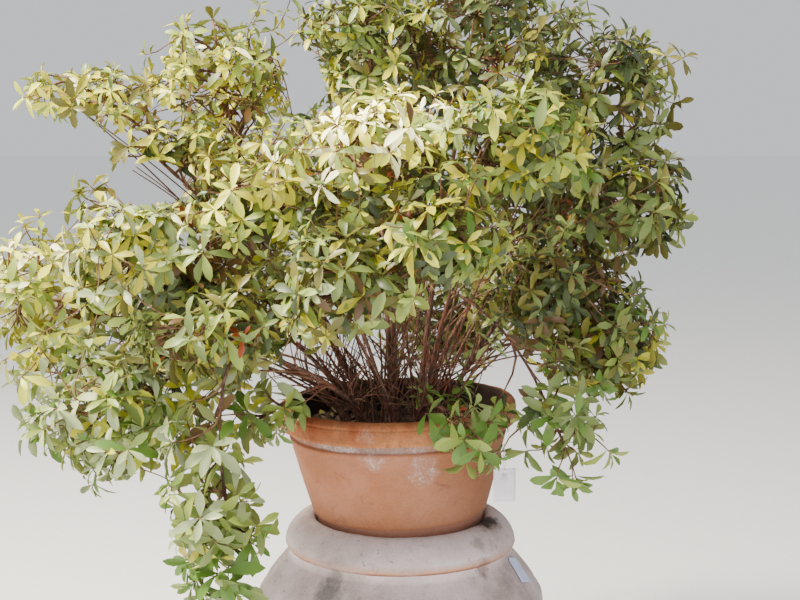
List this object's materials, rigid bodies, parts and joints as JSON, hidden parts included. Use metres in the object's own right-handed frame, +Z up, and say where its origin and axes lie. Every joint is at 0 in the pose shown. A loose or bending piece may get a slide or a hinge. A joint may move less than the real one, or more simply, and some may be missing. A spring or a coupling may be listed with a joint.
{
  "type": "potted azalea",
  "caption": "Evergreen azalea bush with many stems and weeping sides in a terracotta pot that stands nested in the mouth of a large terracotta jar.",
  "frame": {"origin": "middle of the jar's flat underside, on the surface that it stands on", "axes": "+Z up, +X to the right in the picture, +Y to the back, away from the picture's viewer"},
  "size_m": [1.4533, 1.2621, 1.729],
  "materials": {
    "jar_terracotta": "matte, weathered",
    "pot_terracotta": "matte, with lime bloom",
    "soil": "matte, damp bark compost",
    "bark": "matte bark",
    "foliage": "satin leaves"
  },
  "bodies": {
    "root": {"bough_back_left_low": "bark", "bough_back_low": "bark", "bough_front_left_upper": "bark", "bough_front_right": "bark", "bough_hanging_right": "bark", "bough_left_front": "bark", "bough_left_low": "bark", "bough_left_shoulder": "bark", "bough_left_upper": "bark", "bough_pot_left": "bark", "bough_right_inner": "bark", "bough_right_low": "bark", "bough_right_upper": "bark", "bough_top_back": "bark", "bough_weeping_left": "bark", "foliage_arm_left": "foliage", "foliage_back_left_low": "foliage", "foliage_back_left_middle": "foliage", "foliage_back_low": "foliage", "foliage_back_middle": "foliage", "foliage_back_right_middle": "foliage", "foliage_far_left": "foliage", "foliage_front_left_upper": "foliage", "foliage_front_middle": "foliage", "foliage_front_right": "foliage", "foliage_front_upper": "foliage", "foliage_hanging_front": "foliage", "foliage_hanging_right": "foliage", "foliage_left_front": "foliage", "foliage_left_low": "foliage", "foliage_left_middle": "foliage", "foliage_left_shoulder": "foliage", "foliage_left_upper": "foliage", "foliage_pot_left": "foliage", "foliage_right_front_upper": "foliage", "foliage_right_inner": "foliage", "foliage_right_low": "foliage", "foliage_right_middle": "foliage", "foliage_right_upper": "foliage", "foliage_top_back": "foliage", "foliage_top_middle": "foliage", "foliage_top_right": "foliage", "foliage_weeping_left": "foliage", "jar": "jar_terracotta", "pot": "pot_terracotta", "soil": "soil", "stem_back": "bark", "stem_back_left": "bark", "stem_back_right": "bark", "stem_front_low": "bark", "stem_front_rise": "bark", "stem_front_spread": "bark", "stem_left_arm": "bark", "stem_left_front_rise": "bark", "stem_left_spread": "bark", "stem_left_weeping": "bark", "stem_middle": "bark", "stem_right_front": "bark", "stem_right_rise": "bark", "stem_right_spread": "bark"}
  },
  "joints": []
}
